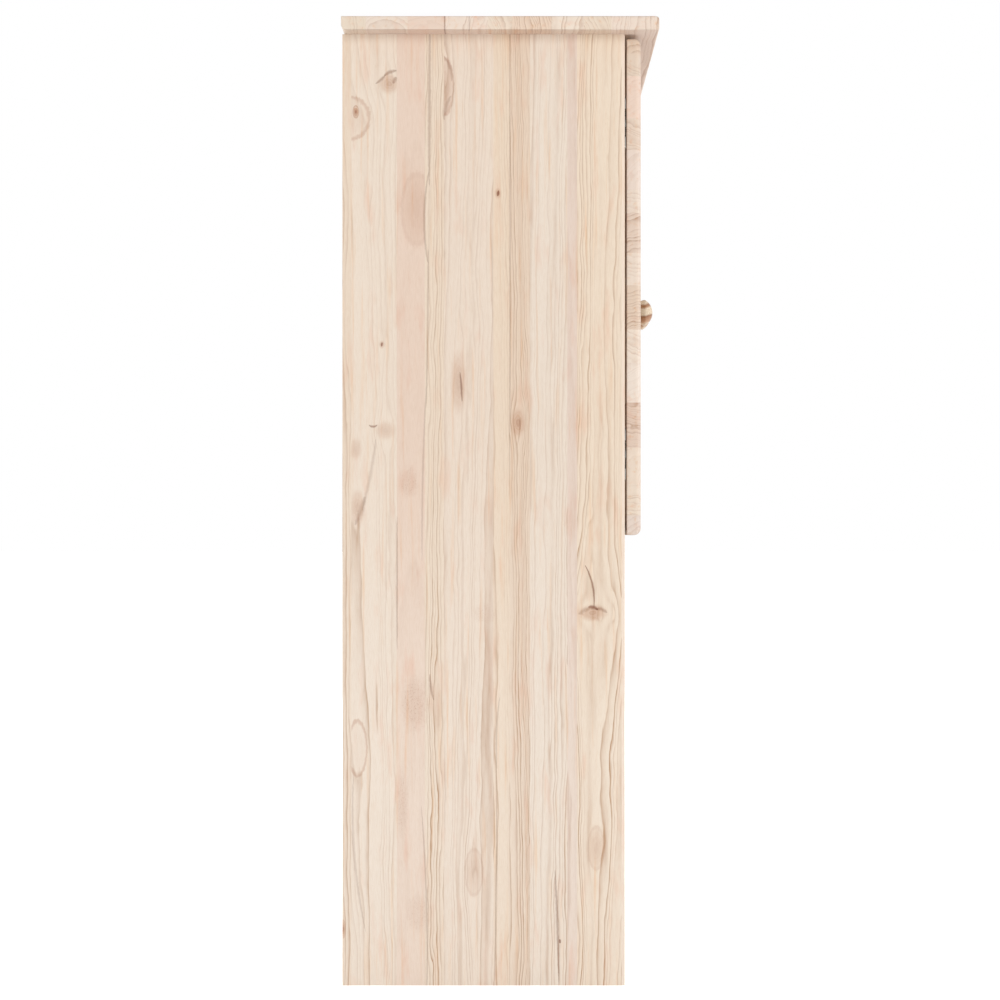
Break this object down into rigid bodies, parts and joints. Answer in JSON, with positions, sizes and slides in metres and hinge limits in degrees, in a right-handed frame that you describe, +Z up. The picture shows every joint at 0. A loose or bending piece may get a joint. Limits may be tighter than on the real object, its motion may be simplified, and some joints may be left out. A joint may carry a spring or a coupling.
{
  "type": "glass door dresser",
  "caption": "Tall free-standing pine cabinet: framed glass doors on cup hinges over the upper half, open shelves below, overhanging top.",
  "frame": {"origin": "centre of the footprint at the floor, under the bounding box", "axes": "+Z up, -Y to the front where the doors are, +X to the right seen from the front"},
  "size_m": [0.6, 0.3586, 1.07],
  "materials": {
    "pine": "clear matt varnish over edge-glued pine",
    "knob_pine": "clear satin varnish over turned pine",
    "plywood": "sanded plywood",
    "beech": "plain fluted dowel",
    "glass": "clear float glass",
    "nickel": "nickel-plated pressed steel",
    "zinc": "zinc-plated",
    "rubber": "soft clear bumper"
  },
  "bodies": {
    "cabinet": {"top_panel": "pine", "left_side_panel": "pine", "right_side_panel": "pine", "bottom_panel": "pine", "plinth_rail": "pine", "middle_shelf": "pine", "upper_shelf": "pine", "lower_shelf": "pine", "back_panel": "plywood", "shelf_pins": "nickel", "cams": "zinc", "cam_bolts": "zinc", "dowels": "beech", "left_hinge_arms": "nickel", "left_mounting_plates": "nickel", "left_plate_screws": "zinc", "left_arm_screws": "zinc", "right_hinge_arms": "nickel", "right_mounting_plates": "nickel", "right_plate_screws": "zinc", "right_arm_screws": "zinc"},
    "left_door": {"left_door_frame": "pine", "left_door_glass": "glass", "left_glazing_beads": "pine", "left_knob": "knob_pine", "left_knob_screw": "zinc", "left_door_bumpers": "rubber", "left_hinge_cups": "nickel", "left_hinge_pins": "zinc", "left_cup_screws": "zinc"},
    "right_door": {"right_door_frame": "pine", "right_door_glass": "glass", "right_glazing_beads": "pine", "right_knob": "knob_pine", "right_knob_screw": "zinc", "right_door_bumpers": "rubber", "right_hinge_cups": "nickel", "right_hinge_pins": "zinc", "right_cup_screws": "zinc"}
  },
  "joints": [
    {"name": "left_door_hinge", "type": "hinge", "parent": "cabinet", "child": "left_door", "pos_m": [-0.272, -0.1447, 0.774], "axis": [0, 0, -1], "range_deg": [0, 100]},
    {"name": "right_door_hinge", "type": "hinge", "parent": "cabinet", "child": "right_door", "pos_m": [0.272, -0.1447, 0.774], "axis": [0, 0, 1], "range_deg": [0, 100]}
  ]
}
